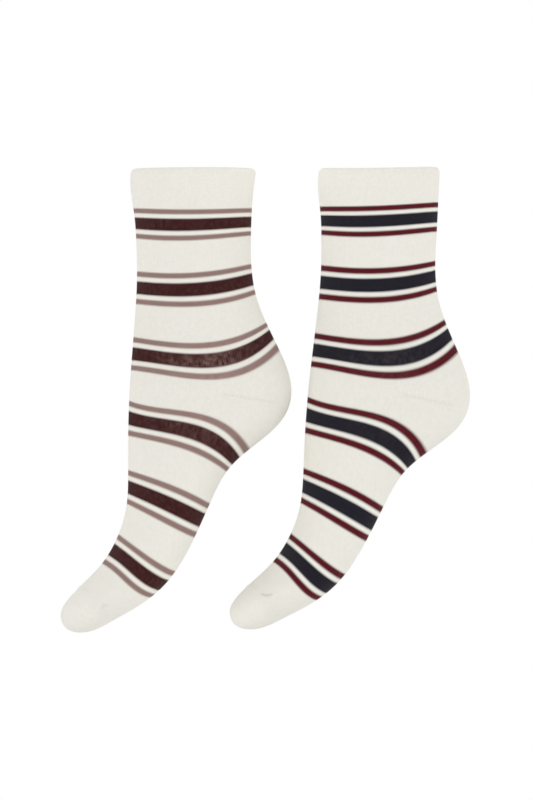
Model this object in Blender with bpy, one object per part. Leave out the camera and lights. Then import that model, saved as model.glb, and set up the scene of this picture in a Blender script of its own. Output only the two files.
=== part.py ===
"""A pair of short striped socks, each filled out as on a foot, with its leg open at the top.

A sock is one knitted tube: a folded welt, the leg, a heel pocket, the foot and a toe pocket. Its wall
follows the courses, the rows of stitches that run round the tube. Seen from the side, a course is a
line from the front of the sock to its back. Seen along the tube, it is a rounded section.

+Z points up the leg, +X from the toes to the heel, and y = 0 is each sock's middle plane. The origin
is the centre of the first sock's leg opening. Tables are in millimetres, and the meshes in metres.
"""

import math
from collections import namedtuple

import bpy
import numpy as np

MM = 0.001

# The knit
WALL = 1.6  # one layer of knit
WELT = 2.8  # the folded welt is two layers
WELT_DEPTH = 28.0  # from the opening down to the end of the fold
WELT_STEP = 3.0  # the inside steps from two layers to one over this length
FOLD_HEIGHT = 3.7  # the soft round top of the fold
FOLD_LEAN = 1.2  # how far it rolls in at its top

# The stripes: six like groups, each a thick stripe between two thin ones
STRIPE_GROUPS = 6
FIRST_GROUP = 30.0  # course at which the first group starts
GROUP_PITCH = 48.0
THIN, GAP, THICK = 3.7, 3.7, 9.2
GROUP_HEIGHT = 2 * THIN + 2 * GAP + THICK
STRIPES_END = FIRST_GROUP + (STRIPE_GROUPS - 1) * GROUP_PITCH + GROUP_HEIGHT

# The mesh
SEGMENTS = 32  # round the tube
PLAIN_STEPS = 3  # rings of the wall in a plain stretch between two groups
HEEL_STEPS = 8  # rings in the plain stretch that turns the heel
INSIDE_STEP = 12.0  # courses from ring to ring on the plain inside, away from heel and toe
TOE_RINGS = 12
TOE_CROWDING = 1.5  # 1 would space the toe's rings evenly, and more crowds them at the tip
FOLD_RINGS = 5

# The outline in side view, from the opening of the leg to the tip of the toes
Point = namedtuple("Point", "place x z")
FRONT_OUTLINE = (
    Point("opening", -45.9, 0.0),
    Point("welt", -46.4, -11.0),
    Point("below the welt", -43.6, -33.5),
    Point("leg", -42.0, -54.0),
    Point("narrowest", -41.4, -76.0),
    Point("ankle", -43.0, -111.0),
    Point("bend of the foot", -46.4, -156.0),
    Point("instep", -48.0, -200.0),
    Point("middle of the foot", -48.0, -229.0),
    Point("foot begins to bend", -49.4, -251.0),
    Point("ball of the foot", -56.0, -273.0),
    Point("toe joints", -67.8, -293.0),
    Point("top of the toes", -84.0, -309.8),
    Point("toe nails", -93.2, -320.0),
    Point("front of the toes", -97.9, -330.5),
)
TIP = Point("tip of the toes", -94.6, -339.6)
BACK_OUTLINE = (
    Point("opening", 43.2, 0.0),
    Point("welt", 43.2, -18.0),
    Point("leg", 43.0, -46.0),
    Point("narrowest", 43.1, -70.0),
    Point("ankle", 46.9, -95.0),
    Point("above the heel", 54.3, -114.5),
    Point("top of the heel", 65.4, -137.8),
    Point("back of the heel", 71.7, -155.5),
    Point("heel", 72.8, -166.5),
    Point("below the heel", 69.0, -181.0),
    Point("under the heel", 58.2, -194.5),
    Point("heel end", 39.8, -209.5),
    Point("arch", 26.0, -223.0),
    Point("middle of the sole", 13.4, -246.0),
    Point("ball of the foot", 1.2, -273.0),
    Point("front of the ball", -8.8, -291.8),
    Point("toe joints", -20.8, -308.0),
    Point("under the toes", -38.8, -322.8),
    Point("toe pads", -59.0, -334.6),
    Point("front of the pads", -80.0, -343.3),
)

# The form that the sock is filled out to, as straight sections from the front outline to the back one.
# A run is the way along the outline from the opening. Sole is 0 for the leg's oval and 1 for a section
# that is blunt and wide below, as at the foot.
Section = namedtuple("Section", "place front_run back_run half_width sole")
FORM = (
    Section("opening", 0.0, 0.0, 39.0, 0.0),
    Section("welt", 30.0, 30.0, 36.0, 0.0),
    Section("leg", 54.0, 53.5, 33.0, 0.0),
    Section("narrowest", 76.0, 75.0, 31.0, 0.0),
    Section("ankle", 101.0, 101.5, 30.2, 0.0),
    Section("above the heel", 126.0, 128.0, 30.6, 0.05),
    Section("top of the heel", 150.0, 156.0, 31.8, 0.15),
    Section("heel", 164.0, 176.0, 32.6, 0.25),
    Section("below the heel", 178.0, 197.0, 33.2, 0.4),
    Section("heel end", 192.0, 219.0, 33.8, 0.55),
    Section("instep", 206.0, 239.0, 34.6, 0.7),
    Section("arch", 222.0, 260.0, 35.8, 0.85),
    Section("middle of the foot", 240.0, 283.0, 37.6, 1.0),
    Section("behind the ball", 258.0, 306.0, 39.6, 1.0),
    Section("ball of the foot", 276.0, 329.0, 40.8, 1.0),
    Section("toe joints", 298.0, 357.0, 40.8, 1.0),
    Section("toes", 322.0, 388.0, 40.0, 0.9),
)
TOE_START = 298.0  # front run from which the form closes over the toes
TOE_BLUNTNESS = 2.6  # 2 would close it as an oval, and more makes it squarer
SOLE_SQUARENESS = 0.35  # how much blunter than an oval a full sole is
SOLE_SPREAD = 0.18  # how far a full sole is wider below than above

# Where the knitted courses lie on the form. A dip is how far a course lies below the straight line
# between its two ends, at a third of the way to the back and at two thirds.
Course = namedtuple("Course", "place course front_run back_run front_dip back_dip")
COURSES = (
    Course("opening", 0.0, 0.3, 0.7, 1.7, 1.5),
    Course("welt", 15.0, 15.4, 15.9, 1.8, 1.7),
    Course("first group starts", 30.0, 30.1, 30.0, 1.6, 1.5),
    Course("first group ends", 54.0, 52.3, 50.1, 2.9, 2.5),
    Course("second group starts", 78.0, 76.8, 71.2, 3.7, 3.7),
    Course("second group ends", 102.0, 100.7, 93.8, 4.9, 5.6),
    Course("third group starts", 126.0, 125.4, 116.2, 8.0, 9.7),
    Course("third group ends", 150.0, 149.8, 138.7, 10.7, 15.4),
    Course("heel point", 162.0, 161.5, 183.5, -1.2, -3.3),
    Course("fourth group starts", 174.0, 172.6, 225.7, -6.0, -11.5),
    Course("fourth group ends", 198.0, 198.2, 249.4, -3.8, -5.0),
    Course("fifth group starts", 222.0, 223.8, 276.1, -1.9, -2.2),
    Course("fifth group ends", 246.0, 248.5, 303.4, -0.4, -0.1),
    Course("sixth group starts", 270.0, 272.1, 332.3, 0.3, 0.8),
    Course("sixth group ends", 294.0, 296.8, 358.8, -0.4, 1.4),
    Course("toe seam", 320.0, 324.0, 390.0, 0.0, 0.8),
)
LAST_COURSE = 352.0  # at the tip of the toes
HEEL_START, HEEL_END = 150.0, 174.0

# The two socks. A sock's place is that of its opening, and lean turns its toes forward and its top
# back. The flare widens the back of the cuff. The rim of the opening dips a little on each side of
# the leg, or rises where the dip is negative. A sock that is pulled up has its courses that much
# higher at the front and at the back, at each of the pull courses.
PULL_COURSES = (0.0, 30.0, 78.0, 126.0, 174.0, 222.0, 270.0, 294.0, LAST_COURSE)
Sock = namedtuple(
    "Sock", "name place_x place_z lean flare rim_dip pull_front pull_back thick_color thin_color"
)
SOCKS = (
    Sock(
        "brown_striped_sock", place_x=0.0, place_z=0.0, lean=0.0, flare=3.8, rim_dip=-1.8,
        pull_front=[0.0] * 9, pull_back=[0.0] * 9,
        thick_color=(0.058, 0.014, 0.018), thin_color=(0.36, 0.21, 0.19),
    ),
    Sock(
        "navy_striped_sock", place_x=139.3, place_z=-1.6, lean=2.47, flare=0.0, rim_dip=-0.4,
        pull_front=(0.0, 0.8, 4.2, 2.4, 2.1, 0.5, -0.7, -0.3, 0.0),
        pull_back=(4.4, 7.9, 5.7, 6.7, 0.6, -0.9, -1.8, -3.3, 0.0),
        thick_color=(0.019, 0.024, 0.035), thin_color=(0.107, 0.005, 0.017),
    ),
)
CREAM_COLOR = (0.82, 0.80, 0.74)
FLARE_DEPTH = 46.0  # the flare is gone this far below the opening
OUTLINE_SAMPLES = 8000
SPARE_RUN = 12.0  # the outline goes on this far above the opening, for a leg that is pulled up
SPARE_TIP = 0.01  # the last section stops this far before the tip, where it would be a point
HALVINGS = 32
DIRECTION_STEP = 0.05  # courses over which the wall's direction is worked out
DIRECTION_TURN = 0.04  # radians, the same


def smooth_curve(knots, values, at):
    """Natural cubic spline through the values, going on in a straight line past both ends."""
    knots, values = np.asarray(knots, float), np.asarray(values, float)
    count, gaps = len(knots), np.diff(knots)
    slopes = np.diff(values, axis=0) / gaps[:, None]
    system, bends = np.eye(count), np.zeros_like(values)
    for i in range(1, count - 1):
        system[i, i - 1 : i + 2] = gaps[i - 1], 2 * (gaps[i - 1] + gaps[i]), gaps[i]
        bends[i] = 6 * (slopes[i] - slopes[i - 1])
    bends = np.linalg.solve(system, bends)
    inside = np.clip(at, knots[0], knots[-1])
    i = np.clip(np.searchsorted(knots, inside, side="right") - 1, 0, count - 2)
    step, gap = (inside - knots[i])[:, None], gaps[i][:, None]
    rise = slopes[i] - gap * (2 * bends[i] + bends[i + 1]) / 6
    turn = (bends[i + 1] - bends[i]) / gap
    point = values[i] + step * (rise + step * (bends[i] / 2 + step * turn / 6))
    slope = rise + step * (bends[i] + step * turn / 2)
    return point + (at - inside)[:, None] * slope


def steady_column(knots, values, at):
    """Cubic through the values that never overshoots: each slope is its two neighbours' harmonic mean."""
    knots, values = np.asarray(knots, float), np.asarray(values, float)
    gaps = np.diff(knots)
    slopes = np.diff(values) / gaps
    before, after = slopes[:-1], slopes[1:]
    same_way = before * after > 0
    weight_before, weight_after = 2 * gaps[1:] + gaps[:-1], gaps[1:] + 2 * gaps[:-1]
    with np.errstate(divide="ignore", invalid="ignore"):
        mean = (weight_before + weight_after) / (weight_before / before + weight_after / after)
    tangents = np.concatenate([slopes[:1], np.where(same_way, mean, 0.0), slopes[-1:]])
    i = np.clip(np.searchsorted(knots, at, side="right") - 1, 0, len(gaps) - 1)
    gap, s = gaps[i], (at - knots[i]) / gaps[i]
    start = values[i] * (1 + 2 * s) * (1 - s) ** 2 + gap * tangents[i] * s * (1 - s) ** 2
    end = values[i + 1] * s**2 * (3 - 2 * s) + gap * tangents[i + 1] * s**2 * (s - 1)
    return start + end


def outline(sock):
    """The outline from the front of the opening round the toes to its back: points and their runs."""
    flared = [
        (point.x + sock.flare * max(0.0, 1 + point.z / FLARE_DEPTH) ** 2, point.z)
        for point in BACK_OUTLINE
    ]
    front = [(point.x, point.z) for point in FRONT_OUTLINE]
    points = np.array(front + [(TIP.x, TIP.z)] + flared[::-1])
    knots = np.concatenate([[0.0], np.cumsum(np.hypot(*np.diff(points, axis=0).T))])
    at = np.linspace(-SPARE_RUN, knots[-1] + SPARE_RUN, OUTLINE_SAMPLES)
    curve = smooth_curve(knots, points, at)
    runs = np.concatenate([[0.0], np.cumsum(np.hypot(*np.diff(curve, axis=0).T))])
    runs -= np.interp(0.0, at, runs)
    return curve, runs, np.interp(knots[len(front)], at, runs), np.interp(knots[-1], at, runs)


def along(curve, runs, run):
    """The outline's points at the given runs."""
    return np.stack([np.interp(run, runs, curve[:, 0]), np.interp(run, runs, curve[:, 1])], axis=-1)


def form_width(sock, points):
    """Half the form's width at points of the side view.

    The section through a point is found by halving: it is the one whose straight line passes the point.
    Its width follows from how far across it the point lies, 0 at the front and 1 at the back.
    """
    curve, runs, tip_run, end_run = outline(sock)
    knots = [section.front_run for section in FORM] + [tip_run]
    last = (end_run - tip_run, FORM[-1].half_width, FORM[-1].sole)
    values = np.array([section[2:] for section in FORM] + [last])
    stations = np.linspace(-SPARE_RUN, tip_run - SPARE_TIP, OUTLINE_SAMPLES)
    back_runs, half_widths, soles = smooth_curve(knots, values, stations).T
    fronts = along(curve, runs, stations)
    backs = along(curve, runs, end_run - back_runs)
    low, high = np.zeros(points.shape[:-1]), np.full(points.shape[:-1], OUTLINE_SAMPLES - 1.0)
    index = np.arange(OUTLINE_SAMPLES)
    for _ in range(HALVINGS):
        middle = (low + high) / 2
        front = np.stack([np.interp(middle, index, fronts[:, i]) for i in (0, 1)], axis=-1)
        back = np.stack([np.interp(middle, index, backs[:, i]) for i in (0, 1)], axis=-1)
        chord, reach = back - front, points - front
        further = chord[..., 0] * reach[..., 1] - chord[..., 1] * reach[..., 0] < 0
        low, high = np.where(further, middle, low), np.where(further, high, middle)
    across = np.sum(reach * chord, axis=-1) / np.sum(chord * chord, axis=-1)
    across = np.clip(across, 0.0, 1.0)
    sole = np.interp(middle, index, soles)
    station = np.interp(middle, index, stations)
    closing = np.clip((station - TOE_START) / (tip_run - TOE_START), 0.0, 1.0)
    half_width = np.interp(middle, index, half_widths) * (1 - closing**TOE_BLUNTNESS)
    oval = 2 * np.sqrt(across * (1 - across))
    bluntness = 1 - SOLE_SQUARENESS * sole * across
    spread = 1 - SOLE_SPREAD * sole * (1 - 2 * across)
    return half_width * oval**bluntness * spread


def surface(sock, courses, angles):
    """The outside of the knit at every pair of a course and an angle, 0 at the front and pi at the back."""
    curve, runs, tip_run, end_run = outline(sock)
    rows = COURSES + (Course("tip", LAST_COURSE, tip_run, end_run - tip_run, 0.0, 0.0),)
    knots = [row.course for row in rows]
    front_run, back_run, front_dip, back_dip = (
        steady_column(knots, [getattr(row, name) for row in rows], courses)
        for name in Course._fields[2:]
    )
    front_run = front_run - np.interp(courses, PULL_COURSES, sock.pull_front)
    back_run = back_run - np.interp(courses, PULL_COURSES, sock.pull_back)
    front, back = along(curve, runs, front_run), along(curve, runs, end_run - back_run)
    rim_dip = sock.rim_dip * np.clip(1 - courses / FIRST_GROUP, 0.0, 1.0)
    chord = back - front
    down = np.stack([chord[:, 1], -chord[:, 0]], axis=-1)
    down /= np.linalg.norm(down, axis=-1, keepdims=True)
    across = (1 - np.cos(angles)) / 2
    # The cubic that is 0 at both ends, front_dip at a third and back_dip at two thirds.
    front_dip, back_dip = front_dip + rim_dip, back_dip + rim_dip
    dip = (9 * front_dip - 4.5 * back_dip)[:, None] + 13.5 * (back_dip - front_dip)[:, None] * across
    dip = dip * across * (1 - across)
    side = front[:, None] + chord[:, None] * across[:, None] + down[:, None] * dip[..., None]
    y = form_width(sock, side) * np.sign(np.sin(angles).round(9))
    return np.stack([side[..., 0], y, side[..., 1]], axis=-1)


def wall_directions(sock, courses, angles):
    """The knit's outward normals and its directions up the tube, from small steps over the surface."""
    above = surface(sock, courses - DIRECTION_STEP, angles)
    up = above - surface(sock, courses + DIRECTION_STEP, angles)
    ahead = surface(sock, courses, angles + DIRECTION_TURN)
    round_tube = ahead - surface(sock, courses, angles - DIRECTION_TURN)
    outward = np.cross(up, round_tube)
    outward /= np.linalg.norm(outward, axis=-1, keepdims=True)
    up /= np.linalg.norm(up, axis=-1, keepdims=True)
    return outward, up


def stripe_edges():
    """The courses at which the colour changes, group by group."""
    steps = np.cumsum([0.0, THIN, GAP, THICK, GAP, THIN])
    starts = FIRST_GROUP + GROUP_PITCH * np.arange(STRIPE_GROUPS)
    return starts[:, None] + steps


def toe_courses():
    """Courses from the last stripe over the toes, closer together towards the tip."""
    share = np.linspace(0.0, 1.0, TOE_RINGS + 1)[:-1]
    return STRIPES_END + (LAST_COURSE - STRIPES_END) * (1 - (1 - share) ** TOE_CROWDING)


def outside_courses():
    """Rings of the outside: every stripe edge, and even steps between the groups."""
    edges = stripe_edges()
    rings = list(np.linspace(FOLD_HEIGHT, FIRST_GROUP, PLAIN_STEPS + 1)[:-1])
    for group in range(STRIPE_GROUPS):
        rings += list(edges[group, :-1])
        start = edges[group, -1]
        if start < STRIPES_END:
            count = HEEL_STEPS if start == HEEL_START else PLAIN_STEPS
            rings += list(np.linspace(start, start + GROUP_PITCH - GROUP_HEIGHT, count + 1)[:-1])
    return np.array(rings + list(toe_courses()))


def inside_courses():
    """Rings of the inside: the end of the welt, then even steps, closer in the heel and the toes."""
    welt = [FOLD_HEIGHT, WELT_DEPTH, WELT_DEPTH + WELT_STEP]
    leg = list(np.arange(42.0, HEEL_START, INSIDE_STEP))
    heel = list(np.linspace(HEEL_START, HEEL_END, HEEL_STEPS + 1)[:-1])
    foot = list(np.arange(HEEL_END, STRIPES_END, INSIDE_STEP))
    return np.array(welt + leg + heel + foot + list(toe_courses()))


def layer_thickness(courses):
    """Two layers down to the end of the welt, one layer from there on."""
    return np.interp(courses, [WELT_DEPTH, WELT_DEPTH + WELT_STEP], [WELT, WALL])


def fold_rings(sock, angles):
    """The welt's soft top: a half oval from the outside over to the inside."""
    start = np.array([FOLD_HEIGHT])
    ring = surface(sock, start, angles)[0]
    outward, up = (direction[0] for direction in wall_directions(sock, start, angles))
    rings = []
    for i in range(1, FOLD_RINGS + 1):
        turn = math.pi * i / (FOLD_RINGS + 1)
        inset = WELT * (1 - math.cos(turn)) / 2 + FOLD_LEAN * math.sin(turn) ** 2
        rings.append(ring - outward * inset + up * FOLD_HEIGHT * math.sin(turn))
    return rings


def tip_points(sock):
    """The outer and inner end of the toe: the outline's tip, and the point one layer behind it."""
    ring = surface(sock, np.array([LAST_COURSE - 1.0]), np.array([0.0, math.pi]))[0]
    tip, behind = np.array([TIP.x, 0.0, TIP.z]), ring.mean(axis=0)
    inward = (behind - tip) / np.linalg.norm(behind - tip)
    return tip, tip + inward * WALL


def yarn_material(name, color):
    """Soft matt knit of one yarn colour."""
    material = bpy.data.materials.new(name)
    material.use_nodes = True
    material.diffuse_color = (*color, 1.0)
    shader = material.node_tree.nodes["Principled BSDF"]
    shader.inputs["Base Color"].default_value = (*color, 1.0)
    shader.inputs["Roughness"].default_value = 0.9
    shader.inputs["Metallic"].default_value = 0.0
    return material


def yarn_index(courses):
    """0 for cream, 1 for a thick stripe and 2 for a thin one, at each course."""
    place = (np.asarray(courses) - FIRST_GROUP) % GROUP_PITCH
    in_group = (courses > FIRST_GROUP) & (courses < STRIPES_END) & (place < GROUP_HEIGHT)
    thin = (place < THIN) | (place > GROUP_HEIGHT - THIN)
    thick = np.abs(place - GROUP_HEIGHT / 2) < THICK / 2
    return np.where(in_group & thin, 2, np.where(in_group & thick, 1, 0))


def build_sock(sock, cream):
    """One closed wall: rings from the toe's outside up to the fold, over it and down the inside."""
    angles = np.linspace(0.0, 2 * math.pi, SEGMENTS, endpoint=False)
    outside, inside = outside_courses(), inside_courses()
    outer_rings = surface(sock, outside, angles)
    outward, _ = wall_directions(sock, inside, angles)
    inner_rings = surface(sock, inside, angles) - outward * layer_thickness(inside)[:, None, None]
    rings = list(outer_rings[::-1]) + fold_rings(sock, angles) + list(inner_rings)
    outer_tip, inner_tip = tip_points(sock)
    points = np.concatenate([np.concatenate(rings), [outer_tip, inner_tip]]) * MM

    faces, colours = [], []
    ring_yarns = yarn_index((outside[:-1] + outside[1:]) / 2)[::-1]
    for row in range(len(rings) - 1):
        yarn = int(ring_yarns[row]) if row < len(ring_yarns) else 0
        for i in range(SEGMENTS):
            j = (i + 1) % SEGMENTS
            low, high = row * SEGMENTS, (row + 1) * SEGMENTS
            faces.append((low + j, low + i, high + i, high + j))
            colours.append(yarn)
    last, outer, inner = (len(rings) - 1) * SEGMENTS, len(points) - 2, len(points) - 1
    for i in range(SEGMENTS):
        j = (i + 1) % SEGMENTS
        faces += [(outer, i, j), (inner, last + j, last + i)]
        colours += [0, 0]

    mesh = bpy.data.meshes.new(sock.name)
    mesh.from_pydata(points.tolist(), [], faces)
    mesh.materials.append(cream)
    mesh.materials.append(yarn_material(sock.name + "_thick_yarn", sock.thick_color))
    mesh.materials.append(yarn_material(sock.name + "_thin_yarn", sock.thin_color))
    mesh.polygons.foreach_set("material_index", colours)
    mesh.shade_smooth()
    body = bpy.data.objects.new(sock.name, mesh)
    body.location = (sock.place_x * MM, 0.0, sock.place_z * MM)
    body.rotation_euler = (0.0, math.radians(sock.lean), 0.0)
    bpy.context.scene.collection.objects.link(body)
    return body


def main():
    for item in list(bpy.data.objects):
        bpy.data.objects.remove(item, do_unlink=True)
    cream = yarn_material("cream_yarn", CREAM_COLOR)
    for sock in SOCKS:
        build_sock(sock, cream)


main()
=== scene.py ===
# %% [markdown]
# # A pair of striped knitted socks
#
# A sock is one knitted tube. The needles of a round machine knit it from the opening down to the
# toes: the folded welt, the leg, the heel pocket, the foot and the toe pocket. Here each sock is
# filled out as on a foot and held at its opening.
#
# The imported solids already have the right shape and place. This script gives the pair its cloth: it
# works the same surface out again on a much finer grid, with the stitches' numbers on it, so that
# the stripes and the stitches can follow the knit round the heel and over the toes.

# %% Load the frame
import math
from collections import namedtuple

import bmesh
import bpy
import numpy as np
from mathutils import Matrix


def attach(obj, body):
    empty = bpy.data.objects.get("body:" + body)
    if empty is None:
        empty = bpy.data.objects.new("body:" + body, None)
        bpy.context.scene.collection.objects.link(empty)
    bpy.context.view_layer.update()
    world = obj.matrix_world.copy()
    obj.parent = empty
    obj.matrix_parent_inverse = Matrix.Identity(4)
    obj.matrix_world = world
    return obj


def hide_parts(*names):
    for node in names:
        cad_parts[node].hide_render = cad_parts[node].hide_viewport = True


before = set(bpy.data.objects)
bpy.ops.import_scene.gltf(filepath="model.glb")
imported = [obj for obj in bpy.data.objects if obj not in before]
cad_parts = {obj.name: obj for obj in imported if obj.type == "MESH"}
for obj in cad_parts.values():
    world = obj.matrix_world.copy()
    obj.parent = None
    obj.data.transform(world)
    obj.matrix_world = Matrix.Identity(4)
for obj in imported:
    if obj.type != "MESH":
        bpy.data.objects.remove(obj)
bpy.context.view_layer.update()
MM = 0.001
print("solids:", sorted(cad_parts))

# %% [markdown]
# ## The knit in numbers
#
# A wale is a column of stitches that runs down the tube, and a course is a row that runs round it.
# A course is about a millimetre high here, so one number does for both the row and the distance
# down the sock. Six like groups of stripes are knitted in: a thick stripe between two thin ones.
# The real rows of stitches are slightly lower, and a group of stripes has 26 of them.

# %% Courses, stripes and wall
FIRST_GROUP = 30.0  # course at which the first group starts
GROUP_PITCH = 48.0
GROUP_HEIGHT = 24.0
GROUP_ROWS = 26  # rows of stitches from the top of a group to its bottom
ROW_HEIGHT = GROUP_HEIGHT / GROUP_ROWS  # courses to a row of stitches
STRIPE_GROUPS = 6
STRIPES_END = FIRST_GROUP + (STRIPE_GROUPS - 1) * GROUP_PITCH + GROUP_HEIGHT
LAST_COURSE = 352.0  # at the tip of the toes
HEEL_START, HEEL_POINT, HEEL_END = 150.0, 162.0, 174.0
TOE_SEAM = 317.5  # the linking seam lies across the top of the toes

WALES = 148
WALL = 1.6  # one layer of knit, in millimetres
WELT = 2.8  # the folded welt is two layers
WELT_DEPTH = 28.0
WELT_STEP = 3.0  # the inside steps from two layers to one over this length
FOLD_HEIGHT = 3.7  # the soft round top of the fold
FOLD_LEAN = 1.2  # how far it rolls in at its top
print("courses in the stripes:", FIRST_GROUP, "to", STRIPES_END)

# %% [markdown]
# ## The outline and the form
#
# Seen from the side, the front outline runs from the opening over the instep to the toes, and the
# back outline over the heel and the sole. A point every few centimetres carries a smooth curve. The
# form that fills the sock has a rounded section between any two facing places of the outlines, oval
# in the leg and blunter at the sole.

# %% The outlines in millimetres, from the opening to the tip of the toes
Point = namedtuple("Point", "place x z")
FRONT_OUTLINE = (
    Point("opening", -45.9, 0),
    Point("welt", -46.4, -11),
    Point("below the welt", -43.6, -33.5),
    Point("leg", -42, -54),
    Point("narrowest", -41.4, -76),
    Point("ankle", -43, -111),
    Point("bend of the foot", -46.4, -156),
    Point("instep", -48, -200),
    Point("middle of the foot", -48, -229),
    Point("foot begins to bend", -49.4, -251),
    Point("ball of the foot", -56, -273),
    Point("toe joints", -67.8, -293),
    Point("top of the toes", -84, -309.8),
    Point("toe nails", -93.2, -320),
    Point("front of the toes", -97.9, -330.5),
)
TIP = Point("tip of the toes", -94.6, -339.6)
BACK_OUTLINE = (
    Point("opening", 43.2, 0),
    Point("welt", 43.2, -18),
    Point("leg", 43, -46),
    Point("narrowest", 43.1, -70),
    Point("ankle", 46.9, -95),
    Point("above the heel", 54.3, -114.5),
    Point("top of the heel", 65.4, -137.8),
    Point("back of the heel", 71.7, -155.5),
    Point("heel", 72.8, -166.5),
    Point("below the heel", 69, -181),
    Point("under the heel", 58.2, -194.5),
    Point("heel end", 39.8, -209.5),
    Point("arch", 26, -223),
    Point("middle of the sole", 13.4, -246),
    Point("ball of the foot", 1.2, -273),
    Point("front of the ball", -8.8, -291.8),
    Point("toe joints", -20.8, -308),
    Point("under the toes", -38.8, -322.8),
    Point("toe pads", -59, -334.6),
    Point("front of the pads", -80, -343.3),
)

# %% The form's sections: runs along the outlines, half the width, and how much of a sole it has
Section = namedtuple("Section", "place front_run back_run half_width sole")
FORM = (
    Section("opening", 0, 0, 39, 0),
    Section("welt", 30, 30, 36, 0),
    Section("leg", 54, 53.5, 33, 0),
    Section("narrowest", 76, 75, 31, 0),
    Section("ankle", 101, 101.5, 30.2, 0),
    Section("above the heel", 126, 128, 30.6, 0.05),
    Section("top of the heel", 150, 156, 31.8, 0.15),
    Section("heel", 164, 176, 32.6, 0.25),
    Section("below the heel", 178, 197, 33.2, 0.4),
    Section("heel end", 192, 219, 33.8, 0.55),
    Section("instep", 206, 239, 34.6, 0.7),
    Section("arch", 222, 260, 35.8, 0.85),
    Section("middle of the foot", 240, 283, 37.6, 1),
    Section("behind the ball", 258, 306, 39.6, 1),
    Section("ball of the foot", 276, 329, 40.8, 1),
    Section("toe joints", 298, 357, 40.8, 1),
    Section("toes", 322, 388, 40, 0.9),
)
TOE_START = 298.0  # front run from which the form closes over the toes
TOE_BLUNTNESS = 2.6  # 2 would close it as an oval, and more makes it squarer
SOLE_SQUARENESS = 0.35
SOLE_SPREAD = 0.18

# %% Where the courses lie on the form, and how far each dips below the straight line across
Course = namedtuple("Course", "place course front_run back_run front_dip back_dip")
COURSES = (
    Course("opening", 0, 0.3, 0.7, 1.7, 1.5),
    Course("welt", 15, 15.4, 15.9, 1.8, 1.7),
    Course("first group starts", 30, 30.1, 30, 1.6, 1.5),
    Course("first group ends", 54, 52.3, 50.1, 2.9, 2.5),
    Course("second group starts", 78, 76.8, 71.2, 3.7, 3.7),
    Course("second group ends", 102, 100.7, 93.8, 4.9, 5.6),
    Course("third group starts", 126, 125.4, 116.2, 8, 9.7),
    Course("third group ends", 150, 149.8, 138.7, 10.7, 15.4),
    Course("heel point", 162, 161.5, 183.5, -1.2, -3.3),
    Course("fourth group starts", 174, 172.6, 225.7, -6, -11.5),
    Course("fourth group ends", 198, 198.2, 249.4, -3.8, -5),
    Course("fifth group starts", 222, 223.8, 276.1, -1.9, -2.2),
    Course("fifth group ends", 246, 248.5, 303.4, -0.4, -0.1),
    Course("sixth group starts", 270, 272.1, 332.3, 0.3, 0.8),
    Course("sixth group ends", 294, 296.8, 358.8, -0.4, 1.4),
    Course("toe seam", 320, 324, 390, 0, 0.8),
)

# %% [markdown]
# The two socks differ in colour and in how they hang. The linking seam at the toes ends in a small
# bent tick, which sits a little differently on each. The tick is three points, each so many
# millimetres across from the top of the toes and down from the seam's course. The seam starts at
# the top, seam_start below that course. Colours are linear, as shaders take them.

# %% The two socks
PULL_COURSES = (0.0, 30.0, 78.0, 126.0, 174.0, 222.0, 270.0, 294.0, LAST_COURSE)
Sock = namedtuple(
    "Sock",
    "piece node slot place_x place_z lean flare rim_dip pull_front pull_back "
    "seam_start tick tick_shade thin_rows flecks thick_color thin_color",
)
# Each sock's tick is darkened by painted shade, the shade in the small pucker at the end of the toe
# seam
SOCKS = (
    Sock(
        "brown_sock_knit", "brown_striped_sock", "brown_striped_knit",
        place_x=0.0, place_z=0.0, lean=0.0, flare=3.8, rim_dip=-1.8,
        pull_front=[0.0] * 9, pull_back=[0.0] * 9,
        seam_start=0.0, tick=((23.0, -0.5), (21.8, -3.3), (22.9, -3.8)), tick_shade=0.08,
        thin_rows=4.2, flecks=0.56,
        thick_color=(0.0425, 0.0105, 0.0105), thin_color=(0.278, 0.186, 0.166),
    ),
    Sock(
        "navy_sock_knit", "navy_striped_sock", "navy_striped_knit",
        place_x=139.3, place_z=-1.6, lean=2.47, flare=0.0, rim_dip=-0.4,
        pull_front=(0.0, 0.8, 4.2, 2.4, 2.1, 0.5, -0.7, -0.3, 0.0),
        pull_back=(4.4, 7.9, 5.7, 6.7, 0.6, -0.9, -1.8, -3.3, 0.0),
        seam_start=1.8, tick=((11.0, -1.7), (13.5, -3.2), (14.9, -7.0)), tick_shade=0.20,
        thin_rows=4.7, flecks=0.1,
        thick_color=(0.0155, 0.0150, 0.0218), thin_color=(0.093, 0.0090, 0.0145),
    ),
)
FLARE_DEPTH = 46.0  # the flare of the cuff is gone this far below the opening
OUTLINE_SAMPLES = 8000
SPARE_RUN = 12.0  # the outline goes on this far above the opening, for a leg that is pulled up
SPARE_TIP = 0.01  # the last section stops this far before the tip, where it would be a point
HALVINGS = 32


# %% [markdown]
# ## Smooth curves through a few values
#
# Two kinds of curve are needed. A natural cubic spline bends as little as it can, which suits an
# outline. A table of runs must never turn back between two rows, so it gets a cubic whose slope at
# each row is the harmonic mean of its neighbours.

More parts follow.
